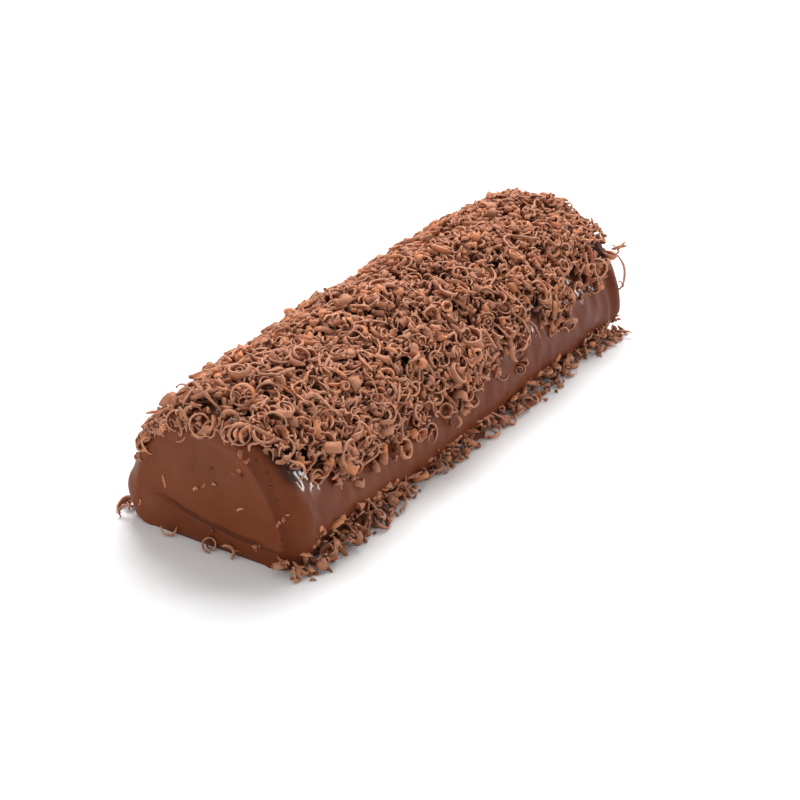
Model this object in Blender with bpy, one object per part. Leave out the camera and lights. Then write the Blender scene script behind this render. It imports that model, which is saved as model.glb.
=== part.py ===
"""A chocolate swiss roll: one glazed log with a flat underside and shavings fused on its back.

Metres, +Z up. The log lies along Y, and the origin is under its middle, on its flat underside.
"""

import math
import random

import bmesh
import bpy
from mathutils import Matrix, Vector

# Driving dimensions of the glazed log.
ROLL_LENGTH = 0.276
ROLL_HALF_WIDTH = 0.0450
ROLL_HEIGHT = 0.0600
FOOT_HALF_WIDTH = 0.0378
WIDEST_HEIGHT = 0.0135
BACK_SQUARENESS = 1.95
END_ROUNDING = 0.0085
END_CROWN = 0.0014
END_MIDDLE_HEIGHT = 0.0252
END_INNER_SHARE = 0.55
END_INNER_CROWN = 0.00105
WAVE_DEPTH = 0.0006
LONG_WAVE = 0.165
SHORT_WAVE = 0.069
SHORT_WAVE_SHARE = 0.6

# The bed of shavings that covers the back.
BED_DEPTH = 0.0034
BED_BUMP = 0.0016
BED_STARTS = 0.0310
BED_FULL = 0.0430
BED_END_TAPER = 0.009

# How finely the log is faceted.
BACK_STEPS = 26
FLANK_STEPS = 3
UNDERSIDE_STEPS = 4
END_STEPS = 4
LENGTH_STEPS = 36

# Shavings: curled ribbons of chocolate.
SHAVING_SEED = 12
BACK_SHAVINGS = 134
FOOT_SHAVINGS = 15
SHAVING_STEPS = 5
SHAVING_THICKNESS = 0.0013
SHAVING_SECTION = ((-1.0, 0.5), (1.0, 0.5), (0.0, -0.5))
SHAVING_WIDTHS = (0.0028, 0.0044)
SHAVING_RADII = (0.0031, 0.0048)
SHAVING_TURNS = (0.55, 0.80)
SHAVING_TAPERS = (0.1, 0.4)
SHAVING_TIGHTENING = 0.22
SHAVING_TILTS = (0.15, 0.5, 1.1)
TILT_SPREAD = 0.2
SHAVING_SINK = 0.0012
SHAVINGS_STOP_ANGLE = math.radians(24.0)
SHAVINGS_END_GAP = 0.003
ANGLE_SPREAD = 0.05
BACK_STRAY = 0.001
FOOT_SHAVING_RADII = (0.0026, 0.0036)
FOOT_SHAVING_REACH = 0.0012
FOOT_TILT_MOST = 1.2
FOOT_END_GAP = 0.014
FOOT_STRAY = 0.003
FOOT_CLEARANCE = 0.0002
GOLDEN = (math.sqrt(5.0) - 1.0) / 2.0

CHOCOLATE_COLOUR = (0.165, 0.062, 0.036, 1.0)
CHOCOLATE_ROUGHNESS = 0.42


def clear_scene():
    for obj in list(bpy.data.objects):
        bpy.data.objects.remove(obj)


def smooth_step(low, high, value):
    share = min(max((value - low) / (high - low), 0.0), 1.0)
    return share * share * (3.0 - 2.0 * share)


def back_point(angle):
    """The point of the rounded back at this angle, from 0 at the right to pi at the left, and its normal."""
    rise = ROLL_HEIGHT - WIDEST_HEIGHT
    across = abs(math.cos(angle))
    up = abs(math.sin(angle))
    reach = (across**BACK_SQUARENESS + up**BACK_SQUARENESS) ** (-1.0 / BACK_SQUARENESS)
    across_reach = ROLL_HALF_WIDTH * reach * math.cos(angle)
    point = Vector((across_reach, WIDEST_HEIGHT + rise * reach * math.sin(angle)))
    normal = Vector((math.cos(angle) / ROLL_HALF_WIDTH, math.sin(angle) / rise)).normalized()
    return point, normal


def flank_point(angle, side):
    """The point where the flank tucks in under the log: 0 at the widest height, pi/2 on the underside."""
    tuck = ROLL_HALF_WIDTH - FOOT_HALF_WIDTH
    across = FOOT_HALF_WIDTH + tuck * math.cos(angle)
    point = Vector((side * across, WIDEST_HEIGHT * (1.0 - math.sin(angle))))
    normal = Vector((side * math.cos(angle) / tuck, -math.sin(angle) / WIDEST_HEIGHT)).normalized()
    return point, normal


def section():
    """The cross-section in X and Z: its points in order round the log, each with its outward normal."""
    ring = [back_point(math.pi * i / BACK_STEPS) for i in range(BACK_STEPS + 1)]
    ring += [flank_point(math.pi / 2 * i / FLANK_STEPS, -1.0) for i in range(1, FLANK_STEPS + 1)]
    for i in range(1, UNDERSIDE_STEPS):
        ring.append((Vector((FOOT_HALF_WIDTH * (2.0 * i / UNDERSIDE_STEPS - 1.0), 0.0)), Vector((0.0, -1.0))))
    ring += [flank_point(math.pi / 2 * i / FLANK_STEPS, 1.0) for i in range(FLANK_STEPS, 0, -1)]
    return ring


def length_wave(along):
    """The slight thick and thin of a log rolled by hand."""
    long_part = math.sin(math.tau * along / LONG_WAVE)
    short_part = math.sin(math.tau * along / SHORT_WAVE + 1.0)
    return WAVE_DEPTH * (long_part + SHORT_WAVE_SHARE * short_part)


def bed_depth(height, along):
    """How deep the bed of shavings lies at this height on the section and this place along the log."""
    to_end = ROLL_LENGTH / 2 - abs(along)
    return BED_DEPTH * smooth_step(BED_STARTS, BED_FULL, height) * smooth_step(0.0, BED_END_TAPER, to_end)


def stations():
    """Places along the log as (y, how far the section is inset there)."""
    half = ROLL_LENGTH / 2
    near = []
    for i in range(END_STEPS + 1):
        angle = math.pi / 2 * i / END_STEPS
        near.append((-half + END_ROUNDING * (1.0 - math.sin(angle)), END_ROUNDING * (1.0 - math.cos(angle))))
    near.reverse()
    straight = half - END_ROUNDING
    middle = [(straight * (2.0 * i / LENGTH_STEPS - 1.0), 0.0) for i in range(1, LENGTH_STEPS)]
    return near + middle + [(-along, inset) for along, inset in reversed(near)]


def make_log():
    """The solid log: sections joined along Y, with rounded rims and slightly crowned ends."""
    rng = random.Random(SHAVING_SEED)
    mesh = bmesh.new()
    rings = []
    for along, inset in stations():
        ring = []
        for point, normal in section():
            bed = bed_depth(point.y, along)
            bump = BED_BUMP * rng.uniform(-1.0, 1.0) * bed / BED_DEPTH
            grow = bed + bump + length_wave(along) * smooth_step(0.0, WIDEST_HEIGHT, point.y)
            across = point.x * (1.0 - inset / ROLL_HALF_WIDTH) + normal.x * grow
            height = point.y * (1.0 - inset / ROLL_HEIGHT) + normal.y * grow
            ring.append(mesh.verts.new((across, along, max(height, 0.0))))
        rings.append(ring)
    for first, second in zip(rings, rings[1:]):
        for i, vert in enumerate(first):
            after = (i + 1) % len(first)
            mesh.faces.new((vert, second[i], second[after], first[after]))
    close_end(mesh, rings[0], -1.0)
    close_end(mesh, rings[-1], 1.0)
    bmesh.ops.recalc_face_normals(mesh, faces=mesh.faces)
    return finished_object("swiss_roll", mesh)


def close_end(mesh, ring, side):
    """A crowned end face: a smaller ring a little proud of the rim, then a fan to the middle."""
    middle = Vector((0.0, ring[0].co.y, END_MIDDLE_HEIGHT))
    inner = []
    for vert in ring:
        point = middle.lerp(vert.co, END_INNER_SHARE)
        point.y += side * END_INNER_CROWN
        inner.append(mesh.verts.new(point))
    centre = mesh.verts.new(middle + Vector((0.0, side * END_CROWN, 0.0)))
    for i, vert in enumerate(ring):
        after = (i + 1) % len(ring)
        mesh.faces.new((vert, ring[after], inner[after], inner[i]))
        mesh.faces.new((inner[i], inner[after], centre))


def finished_object(name, mesh):
    data = bpy.data.meshes.new(name)
    bmesh.ops.triangulate(mesh, faces=mesh.faces)
    mesh.to_mesh(data)
    mesh.free()
    obj = bpy.data.objects.new(name, data)
    bpy.context.scene.collection.objects.link(obj)
    return obj


def shaving_mesh(radius, width, turn, taper):
    """A ribbon curled about its own X axis, its middle on +Z, ridged inside and narrower at its ends."""
    mesh = bmesh.new()
    rings = []
    for i in range(SHAVING_STEPS + 1):
        share = 2.0 * i / SHAVING_STEPS - 1.0
        angle = math.pi * turn * share
        curl = radius * (1.0 - SHAVING_TIGHTENING * (share + 1.0) / 2.0)
        half = width / 2 * (1.0 - taper * share * share)
        ring = []
        for across, out in SHAVING_SECTION:
            reach = curl + out * SHAVING_THICKNESS
            ring.append(mesh.verts.new((across * half, reach * math.sin(angle), reach * math.cos(angle))))
        rings.append(ring)
    for first, second in zip(rings, rings[1:]):
        for i in range(len(first)):
            after = (i + 1) % len(first)
            mesh.faces.new((first[i], first[after], second[after], second[i]))
    mesh.faces.new(rings[0])
    mesh.faces.new(rings[-1])
    bmesh.ops.recalc_face_normals(mesh, faces=mesh.faces)
    return mesh


def put_shaving(rng, where, outward, tilt, radius):
    """A shaving at a point: outward faces away from the log there, and its ring leans over by tilt."""
    width = rng.uniform(*SHAVING_WIDTHS)
    turn = rng.uniform(*SHAVING_TURNS)
    taper = rng.uniform(*SHAVING_TAPERS)
    mesh = shaving_mesh(radius, width, turn, taper)
    spin = Matrix.Rotation(rng.uniform(0.0, math.tau), 4, "X")
    lean = Matrix.Rotation(tilt, 4, "Y")
    heading = Matrix.Rotation(rng.uniform(0.0, math.tau), 4, "Z")
    stand = outward.to_track_quat("Z", "Y").to_matrix().to_4x4()
    mesh.transform(Matrix.Translation(where) @ stand @ heading @ lean @ spin)
    return finished_object("shaving", mesh)


def surface(angle, along):
    """The point on the bed of shavings at this angle round the back, and its outward direction."""
    point, normal = back_point(angle)
    grown = point + normal * bed_depth(point.y, along)
    return Vector((grown.x, along, grown.y)), Vector((normal.x, 0.0, normal.y))


def back_shavings(rng):
    """Shavings spread evenly over the back by the golden ratio, thinning out down the flanks."""
    made = []
    reach = ROLL_LENGTH / 2 - SHAVINGS_END_GAP
    span = math.pi - 2.0 * SHAVINGS_STOP_ANGLE
    for i in range(BACK_SHAVINGS):
        along = reach * (2.0 * (i + 0.5) / BACK_SHAVINGS - 1.0)
        share = (i * GOLDEN) % 1.0
        angle = SHAVINGS_STOP_ANGLE + span * share + rng.uniform(-ANGLE_SPREAD, ANGLE_SPREAD)
        radius = rng.uniform(*SHAVING_RADII)
        tilt = rng.choice(SHAVING_TILTS) * rng.uniform(1.0 - TILT_SPREAD, 1.0 + TILT_SPREAD)
        where, outward = surface(angle, along + rng.uniform(-BACK_STRAY, BACK_STRAY))
        rise = radius * abs(math.cos(tilt)) - SHAVING_SINK
        made.append(put_shaving(rng, where + outward * rise, outward, tilt, radius))
    return made


def foot_shavings(rng):
    """Shavings that slid down and lie against both flanks, their lowest points just clear of the ground."""
    made = []
    reach = ROLL_LENGTH / 2 - FOOT_END_GAP
    up = Vector((0.0, 0.0, 1.0))
    for side in (1.0, -1.0):
        for i in range(FOOT_SHAVINGS):
            along = reach * (2.0 * (i + 0.5) / FOOT_SHAVINGS - 1.0)
            radius = rng.uniform(*FOOT_SHAVING_RADII)
            across = side * (FOOT_HALF_WIDTH + radius + FOOT_SHAVING_REACH)
            where = Vector((across, along + rng.uniform(-FOOT_STRAY, FOOT_STRAY), radius))
            shaving = put_shaving(rng, where, up, rng.uniform(0.0, FOOT_TILT_MOST), radius)
            lowest = min(vert.co.z for vert in shaving.data.vertices)
            shaving.data.transform(Matrix.Translation((0.0, 0.0, FOOT_CLEARANCE - lowest)))
            made.append(shaving)
    return made


def fuse(log, shavings):
    """One Boolean union joins the shavings to the log."""
    gathered = bpy.data.collections.new("shavings")
    bpy.context.scene.collection.children.link(gathered)
    for shaving in shavings:
        bpy.context.scene.collection.objects.unlink(shaving)
        gathered.objects.link(shaving)
    union = log.modifiers.new("fuse_shavings", "BOOLEAN")
    union.operation = "UNION"
    union.operand_type = "COLLECTION"
    union.collection = gathered
    union.solver = "MANIFOLD"
    graph = bpy.context.evaluated_depsgraph_get()
    fused = bpy.data.meshes.new_from_object(log.evaluated_get(graph))
    log.modifiers.remove(union)
    log.data = fused
    for shaving in shavings:
        bpy.data.objects.remove(shaving)
    bpy.data.collections.remove(gathered)


def keep_outer_shell(log):
    """Drops loose scraps and the walls of sealed hollows, which leaves those hollows solid."""
    mesh = bmesh.new()
    mesh.from_mesh(log.data)
    unseen = set(mesh.verts)
    shells = []
    while unseen:
        shell = [unseen.pop()]
        for vert in shell:
            for edge in vert.link_edges:
                other = edge.other_vert(vert)
                if other in unseen:
                    unseen.remove(other)
                    shell.append(other)
        shells.append(shell)
    shells.sort(key=len, reverse=True)
    bmesh.ops.delete(mesh, geom=[vert for shell in shells[1:] for vert in shell], context="VERTS")
    mesh.to_mesh(log.data)
    mesh.free()


def centre_over_origin(log):
    """Sets the middle of the underside of the log's box on the origin."""
    spans = [[vert.co[axis] for vert in log.data.vertices] for axis in range(3)]
    middle_x, middle_y = ((min(span) + max(span)) / 2 for span in spans[:2])
    log.data.transform(Matrix.Translation((-middle_x, -middle_y, -min(spans[2]))))


def chocolate():
    material = bpy.data.materials.new("chocolate")
    material.use_nodes = True
    shader = material.node_tree.nodes["Principled BSDF"]
    shader.inputs["Base Color"].default_value = CHOCOLATE_COLOUR
    shader.inputs["Roughness"].default_value = CHOCOLATE_ROUGHNESS
    shader.inputs["Metallic"].default_value = 0.0
    return material


def main():
    clear_scene()
    rng = random.Random(SHAVING_SEED)
    log = make_log()
    fuse(log, back_shavings(rng) + foot_shavings(rng))
    keep_outer_shell(log)
    centre_over_origin(log)
    log.data.materials.clear()
    log.data.materials.append(chocolate())


main()
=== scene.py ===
# %% [markdown]
# # Finishing a chocolate swiss roll
#
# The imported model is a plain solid: a log with a flat underside and a few large curls fused on its back.
# This lesson gives it the looks of the real cake. First comes a smooth log of milk chocolate glaze, then
# some thousands of chocolate shavings that are dropped on it one after another, and last the light.
#
# Lengths are in millimetres while shapes are worked out, and turn into Blender's metres when a mesh is made.

import bmesh
import bpy
import numpy as np
from mathutils import Matrix, Vector


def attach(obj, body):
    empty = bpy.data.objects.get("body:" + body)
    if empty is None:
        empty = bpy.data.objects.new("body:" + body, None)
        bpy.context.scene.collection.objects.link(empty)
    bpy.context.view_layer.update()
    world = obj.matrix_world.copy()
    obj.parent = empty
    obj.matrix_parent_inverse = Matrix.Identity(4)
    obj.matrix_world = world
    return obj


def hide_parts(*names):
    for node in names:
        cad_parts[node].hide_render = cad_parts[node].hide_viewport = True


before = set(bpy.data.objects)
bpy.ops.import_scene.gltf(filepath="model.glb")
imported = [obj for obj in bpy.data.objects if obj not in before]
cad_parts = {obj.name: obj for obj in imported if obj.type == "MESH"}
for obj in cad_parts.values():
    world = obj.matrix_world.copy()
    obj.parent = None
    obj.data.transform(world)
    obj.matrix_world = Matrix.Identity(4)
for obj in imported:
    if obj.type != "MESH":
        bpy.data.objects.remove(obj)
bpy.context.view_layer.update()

NODE = "swiss_roll"
TO_METRES = 0.001


# %% [markdown]
# ## The camera
#
# The photograph looks down on the roll from its near right corner. The camera is given as a photographer
# would note it: a turn round the object, a height angle, a distance and a lens. It stands far off with a long
# lens, which is why the roll's long sides look nearly parallel.

# %% Camera
CAMERA_TURN = 32.97
CAMERA_HEIGHT_ANGLE = 27.38
CAMERA_DISTANCE = 0.936
CAMERA_LENS = 89.8
CAMERA_AIM = (-0.001, 0.0156, 0.0)
CAMERA_STEP_RIGHT = -0.0043
CAMERA_STEP_UP = 0.0003
SENSOR_WIDTH = 36.0
CLIP_START = 0.01


def add_object(name, data):
    """A new object that holds the data, linked to the scene."""
    made = bpy.data.objects.new(name, data)
    bpy.context.scene.collection.objects.link(made)
    return made


def put_camera():
    turn = np.radians(CAMERA_TURN)
    rise = np.radians(CAMERA_HEIGHT_ANGLE)
    back = Vector((np.sin(turn) * np.cos(rise), -np.cos(turn) * np.cos(rise), np.sin(rise)))
    right = Vector((np.cos(turn), np.sin(turn), 0.0))
    up = back.cross(right)
    data = bpy.data.cameras.new("camera")
    data.lens = CAMERA_LENS
    data.sensor_width = SENSOR_WIDTH
    data.sensor_fit = "HORIZONTAL"
    data.clip_start = CLIP_START
    camera = add_object("camera", data)
    place = Vector(CAMERA_AIM) + back * CAMERA_DISTANCE + right * CAMERA_STEP_RIGHT + up * CAMERA_STEP_UP
    camera.matrix_world = Matrix.Translation(place) @ Matrix((right, up, back)).transposed().to_4x4()
    bpy.context.scene.camera = camera
    print("camera at", [round(value, 3) for value in place])


put_camera()

# %% [markdown]
# ## The form of the log
#
# Cut across, the roll is a rounded arch that is widest low down and tucks in at its foot. The arch is a
# superellipse, an ellipse whose power says how square its shoulders are. The same few sizes drive the packed
# solid, so the glaze lies exactly where that solid is. The outline is walked in small steps and then divided
# evenly by arc length, so that every facet has the same size.

# %% The outline of the section
HALF_WIDTH = 45.0
HEIGHT = 60.0
FOOT_HALF_WIDTH = 37.8
WIDEST_HEIGHT = 13.5
BACK_SQUARENESS = 1.95
LENGTH = 276.0
END_ROUNDING = 8.5
STRAIGHT = LENGTH / 2 - END_ROUNDING
BACK_STEPS = 720
TUCK_STEPS = 120


def half_outline():
    """The right half of the section, from the top middle down to the foot, as (x, z)."""
    angle = np.linspace(np.pi / 2, 0.0, BACK_STEPS + 1)
    cosine = np.cos(angle)
    sine = np.sin(angle)
    reach = (cosine**BACK_SQUARENESS + sine**BACK_SQUARENESS) ** (-1.0 / BACK_SQUARENESS)
    back = np.stack([HALF_WIDTH * reach * cosine, WIDEST_HEIGHT + (HEIGHT - WIDEST_HEIGHT) * reach * sine], 1)
    tuck = np.linspace(0.0, np.pi / 2, TUCK_STEPS + 1)[1:]
    tuck_x = FOOT_HALF_WIDTH + (HALF_WIDTH - FOOT_HALF_WIDTH) * np.cos(tuck)
    flank = np.stack([tuck_x, WIDEST_HEIGHT * (1.0 - np.sin(tuck))], 1)
    return np.concatenate([back, flank])


HALF_OUTLINE = half_outline()
HALF_STEPS = np.linalg.norm(np.diff(HALF_OUTLINE, axis=0), axis=1)
HALF_ARC = np.concatenate([[0.0], np.cumsum(HALF_STEPS)])
HALF_SLOPE = np.gradient(HALF_OUTLINE, HALF_ARC, axis=0)


def on_outline(arc):
    """Points and outward normals of the section at arcs from the top middle, positive on the right."""
    reach = np.abs(arc)
    side = np.where(arc < 0.0, -1.0, 1.0)
    x = np.interp(reach, HALF_ARC, HALF_OUTLINE[:, 0]) * side
    z = np.interp(reach, HALF_ARC, HALF_OUTLINE[:, 1])
    normal_x = -np.interp(reach, HALF_ARC, HALF_SLOPE[:, 1]) * side
    normal_z = np.interp(reach, HALF_ARC, HALF_SLOPE[:, 0])
    return x, z, normal_x, normal_z


print("arc from the top to the foot:", round(HALF_ARC[-1], 1), "mm")

# %% [markdown]
# ## Hand-made unevenness
#
# Glaze is poured and then smoothed with a spatula, so nothing on it is straight. A sum of a few sine waves in
# random directions gives soft swells. Stretching the space first turns round swells into long streaks.

# %% Swells and steps
TAU = 2.0 * np.pi
WAVE_SPREAD = (0.7, 1.5)


def swell(points, wavelength, seed, stretch=(1.0, 1.0, 1.0), waves=7):
    """A soft random field of about -1 to 1 over points in millimetres."""
    rng = np.random.default_rng(seed)
    total = np.zeros(points.shape[:-1])
    for _ in range(waves):
        direction = rng.normal(size=3)
        direction /= np.linalg.norm(direction)
        length = wavelength * rng.uniform(*WAVE_SPREAD)
        total += np.sin(points / np.array(stretch) @ direction * TAU / length + rng.uniform(0.0, TAU))
    return total / waves**0.5


def ramp(low, high, value):
    """0 below low, 1 above high, and a smooth step between."""
    share = np.clip((value - low) / (high - low), 0.0, 1.0)
    return share * share * (3.0 - 2.0 * share)


def bump(distance, width):
    return np.exp(-((distance / width) ** 2))


# %% [markdown]
# ## Walking over the rounded ends
#
# A place on the log has two numbers: the arc from the top, and the walk along it from the middle. Past the
# straight part the walk bends over the rounded rim and then runs inwards on the end face. Both the log's
# mesh and the shavings use this one map, so a curl near the rim leans out over the end by itself. The left
# shoulder of the near end sags a little and the right rim of the far end is fuller, as in the photograph.

# %% The map from (arc, walk) to space
RIM_WALK = END_ROUNDING * np.pi / 2
SHOULDER_SAG = 3.2
SAG_ACROSS = (-12.0, -30.0)
SAG_UP = (13.0, 30.0)
SAG_ALONG = (-85.0, -125.0)
FAR_RIM_SWELL = 3.6
SWELL_ARC = (16.0, 34.0)
SWELL_UP = (3.0, 12.0)


def on_log(arc, walk):
    """Points and outward normals in millimetres, as arrays of three columns."""
    x, z, normal_x, normal_z = on_outline(arc)
    side = np.where(walk < 0.0, -1.0, 1.0)
    past = np.clip((np.abs(walk) - STRAIGHT) / END_ROUNDING, 0.0, np.pi / 2)
    inwards = np.maximum(np.abs(walk) - STRAIGHT - RIM_WALK, 0.0)
    inset = END_ROUNDING * (1.0 - np.cos(past)) + inwards
    y = side * (np.minimum(np.abs(walk), STRAIGHT) + END_ROUNDING * np.sin(past))
    points = np.stack([x * (1.0 - inset / HALF_WIDTH), y, z * (1.0 - inset / HEIGHT)], -1)
    normals = np.stack([normal_x * np.cos(past), side * np.sin(past), normal_z * np.cos(past)], -1)
    sag = SHOULDER_SAG * ramp(*SAG_ACROSS, x) * ramp(*SAG_UP, z) * ramp(*SAG_ALONG, y)
    swollen = FAR_RIM_SWELL * np.sin(2.0 * past) * (walk > 0.0)
    swollen = swollen * ramp(*SWELL_ARC, arc) * ramp(*SWELL_UP, z)
    return points + normals * (swollen - sag * np.cos(past))[..., None], normals


# %% [markdown]
# ## What the spatula left on the end
#
# The near end is nearly flat and satin. The photograph shows a long curved crease that sweeps down from the
# left, with a lip of glaze below it, two soft ridges that follow the right edge, and a few pits. Each is a
# few tenths of a millimetre of real relief, given as a height over the end's own x and z.

# %% Relief of the end faces
END_CROWN = 1.2
END_MIDDLE = HEIGHT * 0.42
CROWN_REACH = HEIGHT * 0.55
CREASE_LEFT = -23.0
CREASE_RIGHT = 30.0
CREASE_LOW = 8.9
CREASE_RISE = 8.0
CREASE_DEPTH = 0.8
CREASE_WIDTH = 0.9
LIP_DEPTH = 0.7
RIDGE_WIDTH = 1.1
PIT_DEPTH = 0.5
EDGE_RIDGES = (((32.0, 34.0), (38.0, 12.5), 0.45), ((28.0, 31.0), (31.8, 16.0), 0.3))
END_PITS = ((-4.9, 35.0, 1.0), (17.6, 40.6, 1.2), (3.2, 36.5, 0.9), (7.5, 19.0, 0.8))
# depth, wavelength, seed, and how far each swell is drawn out from top to bottom
SMEARS = ((0.22, 13.0, 5, 2.6), (0.10, 5.0, 6, 2.0))


def along_line(x, z, start, finish):
    """Distance of (x, z) from the segment between two points."""
    start = np.array(start)
    run = np.array(finish) - start
    share = ((x - start[0]) * run[0] + (z - start[1]) * run[1]) / (run @ run)
    share = np.clip(share, 0.0, 1.0)
    return np.hypot(x - start[0] - share * run[0], z - start[1] - share * run[1])


def end_relief(x, z):
    points = np.stack([x, np.zeros_like(x), z], -1)
    spread = (x / HALF_WIDTH) ** 2 + ((z - END_MIDDLE) / CROWN_REACH) ** 2
    relief = END_CROWN * np.clip(1.0 - spread, 0.0, 1.0)
    sweep = (CREASE_RIGHT - x) / (CREASE_RIGHT - CREASE_LEFT)
    above = z - (CREASE_LOW + CREASE_RISE * np.clip(sweep, 0.0, 1.0) ** 2)
    fade = ramp(CREASE_LEFT - 8.0, CREASE_LEFT + 4.0, x) * ramp(36.0, 24.0, x)
    lip = LIP_DEPTH * ramp(0.8, -1.2, above)
    relief += fade * (lip - CREASE_DEPTH * bump(above - 0.4, CREASE_WIDTH))
    for start, finish, height in EDGE_RIDGES:
        relief += height * bump(along_line(x, z, start, finish), RIDGE_WIDTH)
    for pit_x, pit_z, width in END_PITS:
        relief -= PIT_DEPTH * bump(np.hypot(x - pit_x, z - pit_z), width)
    for depth, wavelength, seed, tall in SMEARS:
        relief += depth * swell(points, wavelength, seed, (1.0, 1.0, tall))
    return relief


# %% [markdown]
# ## The glazed log
#
# The log is one closed mesh: rings round the section, strung along the walk, ending in smaller rings that
# close on the middle of each end face. Along the flanks the glaze ran down before it set, so their relief is
# stretched from top to bottom, and at the foot it gathered in a low bead.

# %% Build the log
AROUND = 256
UNDER_STEPS = 26
LONG_STEPS = 190
RIM_STEPS = 9
END_RINGS = 60
WAVE_DEPTH = 0.6
LONG_WAVE = 165.0
SHORT_WAVE = 69.0
SHORT_WAVE_SHARE = 0.6
BEAD_HEIGHT = 1.6
BEAD_WIDTH = 1.7
BEAD_REACH = 0.9
DENTS = 0.45
DENT_WAVE = 34.0
RUNS = ((0.32, 9.0, 11, 4.0), (0.14, 4.0, 12, 5.0))
RIM_BLEND = 0.12
RING_ARCS = np.linspace(HALF_ARC[-1], -HALF_ARC[-1], AROUND - UNDER_STEPS + 1)
UNDER_SHARES = np.linspace(-1.0, 1.0, UNDER_STEPS + 1)[1:-1]


def log_ring(walk):
    """Points and normals over the arch from the right foot to the left, then back along the underside."""
    points, normals = on_log(RING_ARCS, np.full_like(RING_ARCS, walk))
    under = np.zeros((UNDER_STEPS - 1, 3))
    under[:, 0] = UNDER_SHARES * points[0, 0]
    under[:, 1] = points[0, 1]
    under_normals = np.tile([0.0, 0.0, -1.0], (len(under), 1))
    return np.concatenate([points, under]), np.concatenate([normals, under_normals])


def glaze_relief(points, normals):
    """How far the glaze stands proud of the plain log, along its normals."""
    along = points[:, 1]
    height = points[:, 2]
    wave = np.sin(TAU * along / LONG_WAVE) + SHORT_WAVE_SHARE * np.sin(TAU * along / SHORT_WAVE + 1.0)
    relief = WAVE_DEPTH * wave * ramp(0.0, WIDEST_HEIGHT, height)
    flat = ramp(0.6, 0.95, np.abs(normals[:, 1]))
    runs = sum(depth * swell(points, length, seed, (1.0, 1.0, tall)) for depth, length, seed, tall in RUNS)
    relief += (1.0 - flat) * (runs + DENTS * swell(points, DENT_WAVE, 13))
    bead = bump(height - BEAD_HEIGHT, BEAD_WIDTH) * BEAD_REACH * (1.0 + 0.5 * swell(points, 14.0, 14))
    relief += bead * ramp(0.4, -0.1, normals[:, 2]) * ramp(-0.95, -0.6, normals[:, 2])
    return relief * ramp(-0.99, -0.7, normals[:, 2]), flat


def log_vertices():
    rim = np.linspace(0.0, RIM_WALK, RIM_STEPS + 1)
    straight = np.linspace(-STRAIGHT, STRAIGHT, LONG_STEPS + 1)
    walks = np.concatenate([-(STRAIGHT + rim[:0:-1]), straight, STRAIGHT + rim[1:]])
    rings = []
    for walk in walks:
        points, normals = log_ring(walk)
        relief, flat = glaze_relief(points, normals)
        moved = points + normals * relief[:, None]
        moved[:, 1] += np.sign(walk) * flat * end_relief(points[:, 0], points[:, 2])
        moved[:, 2] = np.maximum(moved[:, 2], 0.0)
        rings.append(moved)
    return rings


def end_rings(ring, side):
    """Rings that close one end, from the rim to just short of the middle."""
    middle = np.array([0.0, side * LENGTH / 2, END_MIDDLE])
    plain, _ = log_ring(side * (STRAIGHT + RIM_WALK))
    rings = []
    for step in range(1, END_RINGS + 1):
        share = step / (END_RINGS + 1)
        flat_ring = plain + (middle - plain) * share
        flat_ring[:, 1] += side * end_relief(flat_ring[:, 0], flat_ring[:, 2])
        blend = ramp(0.0, RIM_BLEND, share)
        edge = ring + (middle - ring) * share
        rings.append(flat_ring * blend + edge * (1.0 - blend))
    return rings


def make_log():
    body = log_vertices()
    rings = end_rings(body[0], -1.0)[::-1] + body + end_rings(body[-1], 1.0)
    around = len(rings[0])
    points = np.concatenate(rings)
    first = np.arange(len(rings) - 1)[:, None] * around
    here = np.arange(around)[None, :]
    after = (here + 1) % around
    quads = np.stack([first + here, first + after, first + around + after, first + around + here], -1)
    faces = quads.reshape(-1, 4).tolist()
    ends = [rings[0].mean(axis=0), rings[-1].mean(axis=0)]
    points = np.concatenate([points, ends])
    near = len(points) - 2
    last = (len(rings) - 1) * around
    faces += [[near, (i + 1) % around, i] for i in range(around)]
    faces += [[near + 1, last + i, last + (i + 1) % around] for i in range(around)]
    mesh = bpy.data.meshes.new("glazed_log")
    mesh.from_pydata((points * TO_METRES).tolist(), [], faces)
    mesh.shade_smooth()
    return add_object("glazed_log", mesh)


glazed_log = make_log()
print("glazed log:", len(glazed_log.data.polygons), "faces")

# %% [markdown]
# ## Writing shader maths as plain maths
#
# A material is a graph of nodes. Instead of wiring each Math node by hand, `Wire` wraps one socket and turns
# the usual operators into nodes, and `Finish` holds a material and adds any other node in one way: its type,
# its settings, and what its sockets get.

# %% Shader helpers
class Wire:
    """One output of a material's graph. Arithmetic on it adds Math nodes."""

    def __init__(self, finish, socket):
        self.finish = finish
        self.socket = socket

    def maths(self, operation, first, second=0.0):
        return self.finish.node("ShaderNodeMath", {"operation": operation}, {0: first, 1: second})

    def __add__(self, other):
        return self.maths("ADD", self, other)

    def __sub__(self, other):
        return self.maths("SUBTRACT", self, other)

    def __rsub__(self, other):
        return self.maths("SUBTRACT", other, self)

    def __mul__(self, other):
        return self.maths("MULTIPLY", self, other)

    def __abs__(self):
        return self.maths("ABSOLUTE", self)

    __radd__ = __add__
    __rmul__ = __mul__

    def rise(self, low, high):
        """0 below low, 1 above high, and a smooth step between."""
        sockets = {"Value": self, "From Min": low, "From Max": high}
        return self.finish.node("ShaderNodeMapRange", {"interpolation_type": "SMOOTHSTEP"}, sockets)


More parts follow.
